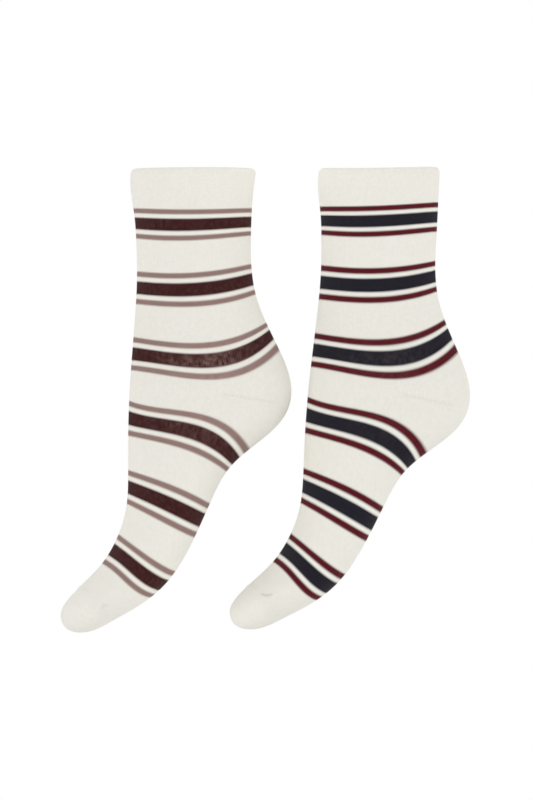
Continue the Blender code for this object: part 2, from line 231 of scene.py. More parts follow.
# %% Spline helpers
def smooth_curve(knots, values, at):
    """Natural cubic spline: its second derivative is linear from knot to knot and 0 at both ends."""
    knots, values = np.asarray(knots, float), np.asarray(values, float)
    count, gaps = len(knots), np.diff(knots)
    slopes = np.diff(values, axis=0) / gaps[:, None]
    system, bends = np.eye(count), np.zeros_like(values)
    for i in range(1, count - 1):
        system[i, i - 1 : i + 2] = gaps[i - 1], 2 * (gaps[i - 1] + gaps[i]), gaps[i]
        bends[i] = 6 * (slopes[i] - slopes[i - 1])
    bends = np.linalg.solve(system, bends)
    inside = np.clip(at, knots[0], knots[-1])
    i = np.clip(np.searchsorted(knots, inside, side="right") - 1, 0, count - 2)
    step, gap = (inside - knots[i])[:, None], gaps[i][:, None]
    rise = slopes[i] - gap * (2 * bends[i] + bends[i + 1]) / 6
    turn = (bends[i + 1] - bends[i]) / gap
    point = values[i] + step * (rise + step * (bends[i] / 2 + step * turn / 6))
    slope = rise + step * (bends[i] + step * turn / 2)
    return point + (at - inside)[:, None] * slope


def steady_column(knots, values, at):
    """Cubic through the values that never overshoots: each slope is its neighbours' harmonic mean."""
    knots, values = np.asarray(knots, float), np.asarray(values, float)
    gaps = np.diff(knots)
    slopes = np.diff(values) / gaps
    before, after = slopes[:-1], slopes[1:]
    weight_before, weight_after = 2 * gaps[1:] + gaps[:-1], gaps[1:] + 2 * gaps[:-1]
    with np.errstate(divide="ignore", invalid="ignore"):
        mean = (weight_before + weight_after) / (weight_before / before + weight_after / after)
    tangents = np.concatenate([slopes[:1], np.where(before * after > 0, mean, 0.0), slopes[-1:]])
    i = np.clip(np.searchsorted(knots, at, side="right") - 1, 0, len(gaps) - 1)
    gap, s = gaps[i], (at - knots[i]) / gaps[i]
    start = values[i] * (1 + 2 * s) * (1 - s) ** 2 + gap * tangents[i] * s * (1 - s) ** 2
    end = values[i + 1] * s**2 * (3 - 2 * s) + gap * tangents[i + 1] * s**2 * (s - 1)
    return start + end


def to_back(angles):
    """Share of the way from the tube's front to its back: (1 - cos) / 2 of the angle."""
    return (1 - np.cos(angles)) / 2


def ease(low, high, value):
    """0 below low, 1 above high, and 3s^2 - 2s^3 between, where s is the share of the way."""
    share = np.clip((value - low) / (high - low), 0.0, 1.0)
    return share * share * (3 - 2 * share)


# %% [markdown]
# ## The surface of a sock
#
# A point of the knit is named by its course and by an angle round the tube, 0 at the front and pi
# at the back. In side view the course is a line from the front outline to the back one, with a
# gentle dip. The width there comes from the form's section that passes through the same place.

# %% The outline as one curve
def walked(points):
    """The length of the way along a line of points, at each of them."""
    return np.concatenate([[0.0], np.cumsum(np.hypot(*np.diff(points, axis=0).T))])


def outline(sock):
    """The outline from the front of the opening round the toes to its back: points and their runs."""
    flared = [
        (point.x + sock.flare * max(0.0, 1 + point.z / FLARE_DEPTH) ** 2, point.z)
        for point in BACK_OUTLINE
    ]
    front = [(point.x, point.z) for point in FRONT_OUTLINE]
    points = np.array(front + [(TIP.x, TIP.z)] + flared[::-1])
    knots = walked(points)
    at = np.linspace(-SPARE_RUN, knots[-1] + SPARE_RUN, OUTLINE_SAMPLES)
    curve = smooth_curve(knots, points, at)
    runs = walked(curve)
    runs -= np.interp(0.0, at, runs)
    return curve, runs, np.interp(knots[len(front)], at, runs), np.interp(knots[-1], at, runs)


def along(curve, runs, run):
    """A curve's points at the given runs."""
    return np.stack([np.interp(run, runs, curve[:, 0]), np.interp(run, runs, curve[:, 1])], axis=-1)


# %% The form's width, and the section that it belongs to
def form_section(sock, points):
    """Half the form's width at points of the side view, and the two runs of the section there.

    The section through a point is found by halving: it is the one whose straight line passes the
    point. With u the share of the way across, 0 at the front and 1 at the back, half the width is
    the table's value times (2 sqrt(u (1 - u))) to the power of 1 less the sole's squareness times u,
    and the sole spreads it by 1 - spread (1 - 2u). Over the toes it closes by 1 - c^bluntness, where
    c is the share of the way to the tip.
    """
    curve, runs, tip_run, end_run = outline(sock)
    knots = [section.front_run for section in FORM] + [tip_run]
    last = (end_run - tip_run, FORM[-1].half_width, FORM[-1].sole)
    values = np.array([section[2:] for section in FORM] + [last])
    stations = np.linspace(-SPARE_RUN, tip_run - SPARE_TIP, OUTLINE_SAMPLES)
    back_runs, half_widths, soles = smooth_curve(knots, values, stations).T
    fronts, backs = along(curve, runs, stations), along(curve, runs, end_run - back_runs)
    low, high = np.zeros(points.shape[:-1]), np.full(points.shape[:-1], OUTLINE_SAMPLES - 1.0)
    index = np.arange(OUTLINE_SAMPLES)
    for _ in range(HALVINGS):
        middle = (low + high) / 2
        front, back = along(fronts, index, middle), along(backs, index, middle)
        chord, reach = back - front, points - front
        further = chord[..., 0] * reach[..., 1] - chord[..., 1] * reach[..., 0] < 0
        low, high = np.where(further, middle, low), np.where(further, high, middle)
    across = np.clip(np.sum(reach * chord, axis=-1) / np.sum(chord * chord, axis=-1), 0.0, 1.0)
    sole, station, half_width, back_run = (
        np.interp(middle, index, column) for column in (soles, stations, half_widths, back_runs)
    )
    closing = np.clip((station - TOE_START) / (tip_run - TOE_START), 0.0, 1.0)
    oval = (2 * np.sqrt(across * (1 - across))) ** (1 - SOLE_SQUARENESS * sole * across)
    spread = 1 - SOLE_SPREAD * sole * (1 - 2 * across)
    return half_width * (1 - closing**TOE_BLUNTNESS) * oval * spread, station, back_run


# %% The knit's surface and its directions
def unit(vectors):
    """Vectors divided by their lengths, or 0 where there is no length."""
    return vectors / np.maximum(np.linalg.norm(vectors, axis=-1, keepdims=True), 1e-9)


def surface(sock, courses, angles):
    """The outside of the knit, and the runs of the form's sections, at each course and angle.

    A course is the straight line from its front run to its back run, moved down by the cubic that
    is 0 at both ends and has the table's dips a and b at a third and two thirds of the way: that is
    u (1 - u) (9a - 4.5b + 13.5 (b - a) u), with u the share of the way.
    """
    courses = np.asarray(courses, float)
    curve, runs, tip_run, end_run = outline(sock)
    rows = COURSES + (Course("tip", LAST_COURSE, tip_run, end_run - tip_run, 0.0, 0.0),)
    knots = [row.course for row in rows]
    front_run, back_run, front_dip, back_dip = (
        steady_column(knots, [getattr(row, name) for row in rows], courses)
        for name in Course._fields[2:]
    )
    front_run -= np.interp(courses, PULL_COURSES, sock.pull_front)
    back_run -= np.interp(courses, PULL_COURSES, sock.pull_back)
    front, back = along(curve, runs, front_run), along(curve, runs, end_run - back_run)
    rim_dip = sock.rim_dip * np.clip(1 - courses / FIRST_GROUP, 0.0, 1.0)
    chord = back - front
    down = unit(np.stack([chord[:, 1], -chord[:, 0]], axis=-1))
    across = to_back(angles)
    front_dip, back_dip = front_dip + rim_dip, back_dip + rim_dip
    dip = (9 * front_dip - 4.5 * back_dip)[:, None] + 13.5 * (back_dip - front_dip)[:, None] * across
    dip = dip * across * (1 - across)
    side = front[:, None] + chord[:, None] * across[:, None] + down[:, None] * dip[..., None]
    width, front_section, back_section = form_section(sock, side)
    y = width * np.sign(np.sin(angles).round(9))
    return np.stack([side[..., 0], y, side[..., 1]], axis=-1), front_section, back_section


DIRECTION_STEP = 0.05  # courses over which the surface's directions are worked out
DIRECTION_TURN = 0.04  # radians, the same


def directions(sock, courses, angles):
    """Outward normals and directions up the tube: the cross product of small steps up and round."""
    above = surface(sock, courses - DIRECTION_STEP, angles)[0]
    up = above - surface(sock, courses + DIRECTION_STEP, angles)[0]
    ahead = surface(sock, courses, angles + DIRECTION_TURN)[0]
    outward = np.cross(up, ahead - surface(sock, courses, angles - DIRECTION_TURN)[0])
    return unit(outward), unit(up)


print("outline of a sock:", round(float(outline(SOCKS[0])[3])), "mm round the toes")

# %% [markdown]
# ## Joins in the knit
#
# The heel is knitted to and fro on half of the needles. Where its rows were dropped and picked up
# again, a gore line with small eyelets runs from the ankle towards the back of the heel. The toe is
# made in the same way and closed by a linking seam across its top, which flattens towards each side
# and ends in a small tick. Both are real relief in the mesh.

# %% Relief of the gore lines and the toe seam
GORE_FROM, GORE_FULL, GORE_FADES, GORE_TO = 0.55, 0.61, 0.87, 0.94  # shares of the way to the back
GORE_WIDTH, GORE_DEPTH, GORE_LIP = 0.9, 0.35, 0.15  # millimetres, as all in this cell
SEAM_WIDTH, SEAM_HEIGHT, SEAM_GUTTER = 0.9, 0.36, 0.05
TICK_WIDTH, TICK_DEPTH = 0.85, 0.4
BESIDE = 2.0  # widths from a join's line to its lip or gutter
GORE_SPAN, SEAM_SPAN = 3.0, 1.0  # courses up and down over which a course's height is measured


def bell(distance, width):
    """exp(-(distance / width)^2): 1 on the line, gone about two widths away."""
    return np.exp(-((distance / width) ** 2))


def from_stroke(across, down, start, end):
    """Distance from a straight stroke: from the point of it that lies nearest."""
    stroke = np.subtract(end, start)
    share = ((across - start[0]) * stroke[0] + (down - start[1]) * stroke[1]) / stroke.dot(stroke)
    share = np.clip(share, 0.0, 1.0)
    return np.hypot(across - start[0] - share * stroke[0], down - start[1] - share * stroke[1])


def joins(sock, courses, angles):
    """Heights of the joins over the cloth in millimetres, and masks, 1 on the gore and on the tick.

    A join is a bell across its line. The toe seam runs straight from its start to the tick's middle
    point, and its height falls evenly to 0 on the way. The tick is a bell across two strokes.
    """
    share = to_back(angles)
    rings = surface(sock, [HEEL_POINT - GORE_SPAN, HEEL_POINT + GORE_SPAN], angles)[0]
    course_height = np.linalg.norm(rings[1] - rings[0], axis=-1) / (2 * GORE_SPAN)
    off_gore = (courses - HEEL_POINT)[:, None] * course_height
    along_gore = ease(GORE_FROM, GORE_FULL, share) * (1 - ease(GORE_FADES, GORE_TO, share))
    gore = along_gore * bell(off_gore, GORE_WIDTH)
    lips = along_gore * bell(np.abs(off_gore) - BESIDE * GORE_WIDTH, GORE_WIDTH)

    rings = surface(sock, [TOE_SEAM - SEAM_SPAN, TOE_SEAM + SEAM_SPAN, TOE_SEAM], angles)[0]
    course_height = np.linalg.norm(rings[1] - rings[0], axis=-1) / (2 * SEAM_SPAN)
    down = (courses - TOE_SEAM)[:, None] * course_height
    across = share * np.linalg.norm(rings[2, np.argmax(share)] - rings[2, np.argmin(share)])
    start, middle, end = sock.tick
    off_seam = down - sock.seam_start - across * (middle[1] - sock.seam_start) / middle[0]
    along_seam = np.clip(1 - across / middle[0], 0.0, 1.0)
    seam = along_seam * bell(off_seam, SEAM_WIDTH)
    gutters = along_seam * bell(np.abs(off_seam) - BESIDE * SEAM_WIDTH, SEAM_WIDTH)
    strokes = (from_stroke(across, down, start, middle), from_stroke(across, down, middle, end))
    tick = bell(np.minimum(*strokes), TICK_WIDTH)

    height = GORE_LIP * lips - GORE_DEPTH * gore + SEAM_HEIGHT * seam - SEAM_GUTTER * gutters
    return height - TICK_DEPTH * tick, gore, tick


# %% [markdown]
# ## Patches of cloth
#
# A stripe follows the courses, but a stitch is always about the same size: where the heel and the
# toes bulge, the machine knits more rows. So each sock is laid out in patches, as it was knitted:
# the leg down to the gore line, the foot from there to the toe seam, and the top and the sole of the
# toes. Each patch is a grid of points with its own numbers of wales and rows, and the patches are
# merged where they meet. The wales are counted evenly round each ring.

# %% The grid's steps
SEGMENTS = 224  # points round the tube
ROW_STEP = 1.45  # courses from ring to ring on the leg and the foot
HEEL_ROW_STEP = 0.4  # the heel's courses spread up to four times as far apart
FINE_STEP = 0.5  # beside the toe seam, and half of it beside the gore line
GORE_BAND = 1.5  # courses above and below the gore line that have fine rings
SEAM_ABOVE, SEAM_BELOW = 8.5, 2.5  # the same at the toe seam, where the tick lies above
WELT_RING_STEP = 2.5
FOLD_RINGS = 9
TOE_RINGS, INSIDE_TOE_RINGS = 26, 12
TOE_CROWDING = 1.6  # 1 would space the toe's rings evenly, and more crowds them at the tip
TIP_HALF_WIDTH = 0.01  # millimetres that keep the two sides apart where the form runs out
INSIDE_STEP, INSIDE_HEEL_STEP, INSIDE_WELT_STEP = 4.4, 1.4, 1.0
ANGLES = np.linspace(0.0, 2 * math.pi, SEGMENTS + 1)


def steps(start, end, size):
    """Even steps from start to end, both included, as near to the size as fits."""
    return np.linspace(start, end, max(1, round(abs(end - start) / size)) + 1)


def unique_courses(*parts):
    """The parts' courses in order, each once."""
    joined = np.concatenate(parts)
    return joined[np.concatenate([[True], np.abs(np.diff(joined)) > 1e-6])]


def crowded(start, rings):
    """Courses from start to the tip of the toes, crowded there: 1 - (1 - share)^crowding of the way."""
    shares = np.linspace(0.0, 1.0, rings + 1)
    return start + (LAST_COURSE - start) * (1 - (1 - shares) ** TOE_CROWDING)


LEG_COURSES = unique_courses(
    steps(FOLD_HEIGHT, HEEL_START, ROW_STEP),
    steps(HEEL_START, HEEL_POINT - GORE_BAND, HEEL_ROW_STEP),
    steps(HEEL_POINT - GORE_BAND, HEEL_POINT, FINE_STEP / 2),
)
FOOT_COURSES = unique_courses(
    steps(HEEL_POINT, HEEL_POINT + GORE_BAND, FINE_STEP / 2),
    steps(HEEL_POINT + GORE_BAND, HEEL_END, HEEL_ROW_STEP),
    steps(HEEL_END, TOE_SEAM - SEAM_ABOVE, ROW_STEP),
    steps(TOE_SEAM - SEAM_ABOVE, TOE_SEAM, FINE_STEP),
)
TOE_COURSES = unique_courses(
    steps(TOE_SEAM, TOE_SEAM + SEAM_BELOW, FINE_STEP),
    crowded(TOE_SEAM + SEAM_BELOW, TOE_RINGS),
)
WELT_COURSES = steps(WELT_DEPTH, FOLD_HEIGHT, WELT_RING_STEP)
INSIDE_COURSES = unique_courses(
    steps(WELT_DEPTH, WELT_DEPTH + WELT_STEP, INSIDE_WELT_STEP),
    steps(WELT_DEPTH + WELT_STEP, HEEL_START, INSIDE_STEP),
    steps(HEEL_START, HEEL_END, INSIDE_HEEL_STEP),
    steps(HEEL_END, TOE_SEAM, INSIDE_STEP),
    crowded(TOE_SEAM, INSIDE_TOE_RINGS),
)
print("rings:", len(LEG_COURSES), "leg,", len(FOOT_COURSES), "foot,", len(TOE_COURSES), "toes")

# %% [markdown]
# The welt is knitted double and folded over at the opening. Its grid starts at the inner end of the
# fold, goes up inside, over the soft round top and down outside, as the cloth does.

# %% The leg with its folded welt
Patch = namedtuple("Patch", "points wale row course gore tick flipped")


def wale_numbers(rings):
    """Wales counted evenly round each ring from the front: the share of its length, times WALES."""
    lengths = np.cumsum(np.linalg.norm(np.diff(rings, axis=1), axis=-1), axis=1)
    lengths = np.concatenate([np.zeros((len(rings), 1)), lengths], axis=1)
    return WALES * lengths / lengths[:, -1:]


def outside(sock, courses):
    """The outside and its wales: the surface moved out along its normals by the joins' relief."""
    points, front_section, back_section = surface(sock, courses, ANGLES)
    outward, _ = directions(sock, courses, ANGLES)
    height, gore, tick = joins(sock, courses, ANGLES)
    wale = wale_numbers(points)
    return points + outward * height[..., None], wale, front_section, back_section, gore, tick


def inside(sock, courses, thickness):
    """The inside: the surface moved in along its normals by the thickness of the layers."""
    outward, _ = directions(sock, courses, ANGLES)
    return surface(sock, courses, ANGLES)[0] - outward * thickness[:, None, None]


def fold(sock):
    """The welt's top from the inside to the outside: a half oval, as wide as the welt is thick."""
    start = np.array([FOLD_HEIGHT])
    ring = surface(sock, start, ANGLES)[0][0]
    outward, up = (direction[0] for direction in directions(sock, start, ANGLES))
    turn = np.linspace(math.pi, 0.0, FOLD_RINGS + 2)[1:-1, None, None]
    inset = WELT * (1 - np.cos(turn)) / 2 + FOLD_LEAN * np.sin(turn) ** 2
    return ring - outward * inset + up * FOLD_HEIGHT * np.sin(turn)


HEEL_FROM, HEEL_FULL = 0.42, 0.60  # shares of the way to the back where the heel's extra rows begin


def all_round(courses):
    """Each course at every angle."""
    return np.repeat(courses[:, None], SEGMENTS + 1, axis=1)


def heel_rows(sock, courses, points, start, sign):
    """Rows: the courses, but in the heel 1 a millimetre of cloth, counted from the start by the sign.

    The heel is what lies beyond the start, and it fades in on the way from front to back.
    """
    course, edge = all_round(courses), surface(sock, [start], ANGLES)[0]
    knitted = start + sign * np.linalg.norm(points[..., ::2] - edge[..., ::2], axis=-1)
    heel = ease(HEEL_FROM, HEEL_FULL, to_back(ANGLES))
    return np.where(sign * (course - start) > 0, course + heel * (knitted - course), course)


def leg_patch(sock):
    """The welt, the leg and the heel above the gore line, with rows counted down from the stripes."""
    points, wale, _, _, gore, tick = outside(sock, LEG_COURSES)
    row = heel_rows(sock, LEG_COURSES, points, HEEL_START, 1)
    welt = inside(sock, WELT_COURSES, np.full(len(WELT_COURSES), WELT))
    top = np.concatenate([welt, fold(sock)])
    lengths = np.linalg.norm(np.diff(np.concatenate([top, points[:1]]), axis=0), axis=-1)
    above = FOLD_HEIGHT - np.cumsum(lengths[::-1], axis=0)[::-1]
    none = np.zeros_like(above)
    over = (top, np.repeat(wale[:1], len(top), axis=0), above, above, none, none)
    below = (points, wale, row, all_round(LEG_COURSES), gore, tick)
    return Patch(*(np.concatenate(pair) for pair in zip(over, below)), False)


# %% [markdown]
# Below the gore line the heel's rows are counted back up from the fourth group of stripes. The two
# counts differ at the gore line, and that is what makes the stitches meet at an angle there.

# %% The foot
def foot_patch(sock):
    """The heel below the gore line and the foot, with rows counted back from the fourth group."""
    points, wale, _, _, gore, tick = outside(sock, FOOT_COURSES)
    row = heel_rows(sock, FOOT_COURSES, points, HEEL_END, -1)
    return Patch(points, wale, row, all_round(FOOT_COURSES), gore, tick, False)


# %% [markdown]
# On the toes the wales stay side by side and end one after another at the gore on each side. So a
# wale keeps its distance from the middle, and its number is read off the ring at the seam.

# %% The toes
def toe_patches(sock):
    """The top and the sole of the toes: wales by their distance across, rows by the form's runs."""
    points, wales, front_section, back_section, gore, tick = outside(sock, TOE_COURSES)
    side = np.sign(np.sin(ANGLES).round(9))
    points[..., 1] = side * np.maximum(np.abs(points[..., 1]), TIP_HALF_WIDTH)
    points[-1] = (TIP.x, 0.0, TIP.z)
    half = SEGMENTS // 2
    across, around = points[0, : half + 1, 1], wales[0, : half + 1]
    widest = int(np.argmax(across))
    patches = []
    for top in (True, False):
        if top:
            columns = np.arange(-widest, widest + 1) % SEGMENTS
            known, numbers = across[: widest + 1], around[: widest + 1]
            rows = front_section - front_section[:1]
        else:
            columns = np.arange(widest, SEGMENTS - widest + 1)
            known, numbers = across[widest:][::-1], around[widest:][::-1]
            rows = back_section - back_section[:1]
        y = points[:, columns, 1]
        wale = np.interp(np.abs(y), known, numbers)
        wale = np.where(y < 0, -wale if top else WALES - wale, wale)
        row = TOE_SEAM + rows[:, columns]
        others = [grid[:, columns] for grid in (all_round(TOE_COURSES), gore, tick)]
        patches.append(Patch(points[:, columns], wale, row, *others, False))
    return patches


# %% [markdown]
# The inside shows the reverse of the knit, from the end of the welt to the toes.

# %% The reverse side
def reverse_patch(sock):
    """The inside below the welt: the surface moved in by one layer, facing the hollow."""
    thickness = np.interp(INSIDE_COURSES, [WELT_DEPTH, WELT_DEPTH + WELT_STEP], [WELT, WALL])
    points = inside(sock, INSIDE_COURSES[:-1], thickness[:-1])
    wale = wale_numbers(points)
    wale = np.concatenate([wale, wale[-1:]])
    before = points[-1].mean(axis=0)
    tip = np.array([TIP.x, 0.0, TIP.z])
    tip = tip + (before - tip) / np.linalg.norm(before - tip) * WALL
    points = np.concatenate([points, np.repeat(tip[None, None], SEGMENTS + 1, axis=1)])
    course = all_round(INSIDE_COURSES)
    none = np.zeros_like(course)
    return Patch(points, wale, course, course, none, none, True)


# %% [markdown]
# ## One closed mesh for each sock
#
# The stitch numbers go into a UV map, because a UV belongs to a corner of a face: the last wale and
# the first can then meet on one line of points. The course, the gore and the tick are the same on
# both sides of such a line, so they are plain attributes of the points.

# %% Join the patches into a mesh
FACE, REVERSE = 0, 1  # material slots
POINT_NUMBERS = ("course", "gore", "tick")


def grid_faces(rows, columns, start, flipped):
    """Corners of a grid's quads, turned so that the outside faces out, or the inside if flipped."""
    corner = start + np.arange(rows - 1)[:, None] * columns + np.arange(columns - 1)
    quads = np.stack([corner + columns + 1, corner + columns, corner, corner + 1], axis=-1)
    return (quads[..., ::-1] if flipped else quads).reshape(-1, 4)


def placed(sock, points):
    """Points turned by the sock's lean about the y axis and moved to its place, in metres."""
    turn = math.radians(sock.lean)
    x = points[..., 0] * math.cos(turn) + points[..., 2] * math.sin(turn) + sock.place_x
    z = -points[..., 0] * math.sin(turn) + points[..., 2] * math.cos(turn) + sock.place_z
    return np.stack([x, points[..., 1], z], axis=-1) * MM


MERGE = 1e-6  # metres


def new_object(name, data):
    """An object that carries the data, in the scene."""
    made = bpy.data.objects.new(name, data)
    bpy.context.scene.collection.objects.link(made)
    return made


def stitch_rows(courses):
    """Courses as rows of stitches, counted from the first row of the first stripe."""
    return (courses - FIRST_GROUP) / ROW_HEIGHT


def make_sock(sock):
    """The sock's patches as one mesh, merged where they meet."""
    patches = [leg_patch(sock), foot_patch(sock), *toe_patches(sock), reverse_patch(sock)]
    faces, slots, start = [], [], 0
    for patch in patches:
        rows, columns = patch.row.shape
        faces.append(grid_faces(rows, columns, start, patch.flipped))
        slots += [REVERSE if patch.flipped else FACE] * len(faces[-1])
        start += rows * columns
    faces = np.concatenate(faces)
    points = np.concatenate([placed(sock, patch.points).reshape(-1, 3) for patch in patches])
    mesh = bpy.data.meshes.new(sock.piece)
    mesh.from_pydata(points.tolist(), [], faces.tolist())
    mesh.polygons.foreach_set("material_index", slots)
    stitches = np.concatenate(
        [np.stack([patch.wale, stitch_rows(patch.row)], axis=-1).reshape(-1, 2) for patch in patches]
    )
    mesh.uv_layers.new(name="stitches").data.foreach_set("uv", stitches[faces.ravel()].ravel())
    for name in POINT_NUMBERS:
        values = np.concatenate([getattr(patch, name).ravel() for patch in patches])
        values = stitch_rows(values) if name == "course" else values
        mesh.attributes.new(name, "FLOAT", "POINT").data.foreach_set("value", values)
    work = bmesh.new()
    work.from_mesh(mesh)
    bmesh.ops.remove_doubles(work, verts=work.verts, dist=MERGE)
    open_edges = sum(not edge.is_manifold for edge in work.edges)
    volume = work.calc_volume(signed=True)
    work.to_mesh(mesh)
    work.free()
    mesh.shade_smooth()
    triangles = sum(len(polygon.vertices) - 2 for polygon in mesh.polygons)
    print(sock.piece, triangles, "triangles,", open_edges, "open edges,", round(volume * 1e6, 1), "cm3")
    return new_object(sock.piece, mesh)


pieces = [make_sock(sock) for sock in SOCKS]

# %% [markdown]
# ## The stitches as a shader
#
# On the face of a plain knit each stitch shows two legs that lean together. A wale is a stack of
# such pairs. The group below works one stitch out from the wale and row numbers. Let s be the
# distance from the middle of the wale, 0 in the middle and 1 where two wales meet. The rows are
# slanted by 3s^2 - 2s^3, so the legs form a soft chevron. Across a leg the yarn is round, and its
# ends sink away where it dips behind its neighbours.


# %% Helpers for node groups
def new_group(name, **inputs):
    """An empty shader node group with inputs of the given kinds, and the sockets they come in at."""
    group = bpy.data.node_groups.new(name, "ShaderNodeTree")
    for socket, kind in inputs.items():
        group.interface.new_socket(socket, in_out="INPUT", socket_type="NodeSocket" + kind)
    return group, group.nodes.new("NodeGroupInput").outputs


def put_out(group, **outputs):
    """Give the group outputs of these names, and link the sockets to them."""
    for name in outputs:
        group.interface.new_socket(name, in_out="OUTPUT", socket_type="NodeSocketFloat")
    result = group.nodes.new("NodeGroupOutput")
    for name, socket in outputs.items():
        group.links.new(socket, result.inputs[name])
    return group


def calc(tree, operation, *values):
    """A Math node on sockets or plain numbers, and its output."""
    node = tree.nodes.new("ShaderNodeMath")
    node.operation = operation
    for socket, value in zip(node.inputs, values):
        if isinstance(value, bpy.types.NodeSocket):
            tree.links.new(value, socket)
        else:
            socket.default_value = value
    return node.outputs[0]


def split(tree, vector):
    """The wale and the row of a stitch vector."""
    parts = tree.nodes.new("ShaderNodeSeparateXYZ")
    tree.links.new(vector, parts.inputs[0])
    return parts.outputs[0], parts.outputs[1]


def off_centre(tree, share):
    """Distance of a share from its middle: |2 share - 1|, 0 in the middle and 1 at both ends."""
    return calc(tree, "ABSOLUTE", calc(tree, "MULTIPLY_ADD", share, 2.0, -1.0))


def round_yarn(tree, row):
    """Height of a round yarn across its row: sqrt(1 - v^2), with v the distance from its middle."""
    off_yarn = off_centre(tree, calc(tree, "FRACT", row))
    square = calc(tree, "MULTIPLY", off_yarn, off_yarn)
    return calc(tree, "SQRT", calc(tree, "SUBTRACT", 1.0, square))


def full_turns(tree, turns, operation):
    """Sine or cosine of so many full turns."""
    return calc(tree, operation, calc(tree, "MULTIPLY", turns, 2 * math.pi))


def mix_color(tree, factor, first, second, blend="MIX"):
    """A Mix node for colours on sockets or plain values, and its output."""
    node = tree.nodes.new("ShaderNodeMix")
    node.data_type, node.blend_type = "RGBA", blend
    for name, value in (("Factor_Float", factor), ("A_Color", first), ("B_Color", second)):
        socket = next(s for s in node.inputs if s.identifier == name)
        if isinstance(value, bpy.types.NodeSocket):
            tree.links.new(value, socket)
        else:
            socket.default_value = value if name == "Factor_Float" else (*value, 1.0)
    return next(s for s in node.outputs if s.identifier == "Result_Color")


# %% The face of the knit: one stitch
LEG_SINK = 0.45  # share of its height by which a leg's inner end sinks, and its outer end twice that
LEG_FALL = 3.0  # the power of the way to its ends by which it sinks


def face_stitch_group():
    """Height of the yarn, the slant of the row, the gaps between loops, and a chance a stitch."""
    group, given = new_group("face stitch", Stitches="Vector", Slant="Float")
    wale, row = split(group, given["Stitches"])
    off_middle = off_centre(group, calc(group, "FRACT", wale))
    square = calc(group, "MULTIPLY", off_middle, off_middle)
    bent = calc(group, "MULTIPLY", square, calc(group, "MULTIPLY_ADD", off_middle, -2.0, 3.0))
    slant = calc(group, "MULTIPLY", calc(group, "SUBTRACT", bent, 0.5), given["Slant"])
    slanted_row = calc(group, "SUBTRACT", row, slant)
    end = calc(group, "POWER", off_centre(group, off_middle), LEG_FALL)
    outer = calc(group, "GREATER_THAN", off_middle, 0.5)
    sink = calc(group, "MULTIPLY", end, calc(group, "MULTIPLY_ADD", outer, LEG_SINK, LEG_SINK))
    rest = calc(group, "SUBTRACT", 1.0, sink)
    height = calc(group, "MULTIPLY", round_yarn(group, slanted_row), rest)
    number = group.nodes.new("ShaderNodeCombineXYZ")
    group.links.new(calc(group, "FLOOR", wale), number.inputs[0])
    group.links.new(calc(group, "FLOOR", slanted_row), number.inputs[1])
    chance = group.nodes.new("ShaderNodeTexWhiteNoise")
    chance.noise_dimensions = "2D"
    group.links.new(number.outputs[0], chance.inputs["Vector"])
    back, gap = calc(group, "MULTIPLY", slant, -1.0), calc(group, "SUBTRACT", 1.0, height)
    return put_out(group, Height=height, SlantedRow=back, Gap=gap, Chance=chance.outputs["Value"])


face_stitch = face_stitch_group()
print("face stitch:", len(face_stitch.nodes), "nodes")

# %% [markdown]
# The reverse shows the heads of the loops instead: short bars across the wales, each row half a
# wale on from the last.


# %% The reverse of the knit
HEAD_WAVE = 0.25  # a loop's head rises and sinks by this share of its height


def reverse_stitch_group():
    """Height of the loop heads: round across the row, and a wave along it that shifts by half."""
    group, given = new_group("reverse stitch", Stitches="Vector")
    wale, row = split(group, given["Stitches"])
    shifted = calc(group, "MULTIPLY_ADD", calc(group, "FLOOR", row), 0.5, wale)
    wave = calc(group, "MULTIPLY_ADD", full_turns(group, shifted, "COSINE"), HEAD_WAVE, 1 - HEAD_WAVE)
    height = calc(group, "MULTIPLY", round_yarn(group, row), wave)
    return put_out(group, Height=height, Gap=calc(group, "SUBTRACT", 1.0, height))


reverse_stitch = reverse_stitch_group()

# %% [markdown]
# ## The stripes
#
# The yarn changes colour every few rows, so a stripe is a matter of the row number alone, and its
# edge follows the slanted legs of the stitches as small teeth. The course is used here and not the
# stitches' own row, because the heel has rows that no course has.


# %% Which yarn is knitted in a row
PITCH_ROWS = GROUP_PITCH / ROW_HEIGHT
THICK_ROWS = 10.6  # rows in a thick stripe
THIN_MIDDLE = 11.05  # rows from the middle of the thick stripe to the middle of a thin one
MARGIN_ROWS = 2.0  # the pattern goes on this far past its ends, for the slant of the stitches


def stripe_group():
    """Masks of the thick and the thin stripes at a row number.

    The rows are folded into one pitch of the pattern, with 0 in the middle of a thick stripe. The
    thick stripe is where that is under half its rows, and the thin ones are where it lies within
    half a thin stripe of their middles.
    """
    group, given = new_group("stripes", Row="Float", ThinRows="Float")
    row = given["Row"]
    shifted = calc(group, "ADD", row, (PITCH_ROWS - GROUP_ROWS) / 2)
    place = calc(group, "FLOORED_MODULO", shifted, PITCH_ROWS)
    off_middle = calc(group, "ABSOLUTE", calc(group, "SUBTRACT", place, PITCH_ROWS / 2))
    half = ((STRIPE_GROUPS - 1) * PITCH_ROWS + GROUP_ROWS) / 2
    striped = calc(group, "COMPARE", row, half, half + MARGIN_ROWS)
    thick = calc(group, "LESS_THAN", off_middle, THICK_ROWS / 2)
    half_thin = calc(group, "MULTIPLY", given["ThinRows"], 0.5)
    thin = calc(group, "COMPARE", off_middle, THIN_MIDDLE, half_thin)
    thick, thin = (calc(group, "MULTIPLY", stripe, striped) for stripe in (thick, thin))
    return put_out(group, Thick=thick, Thin=thin)


stripes = stripe_group()
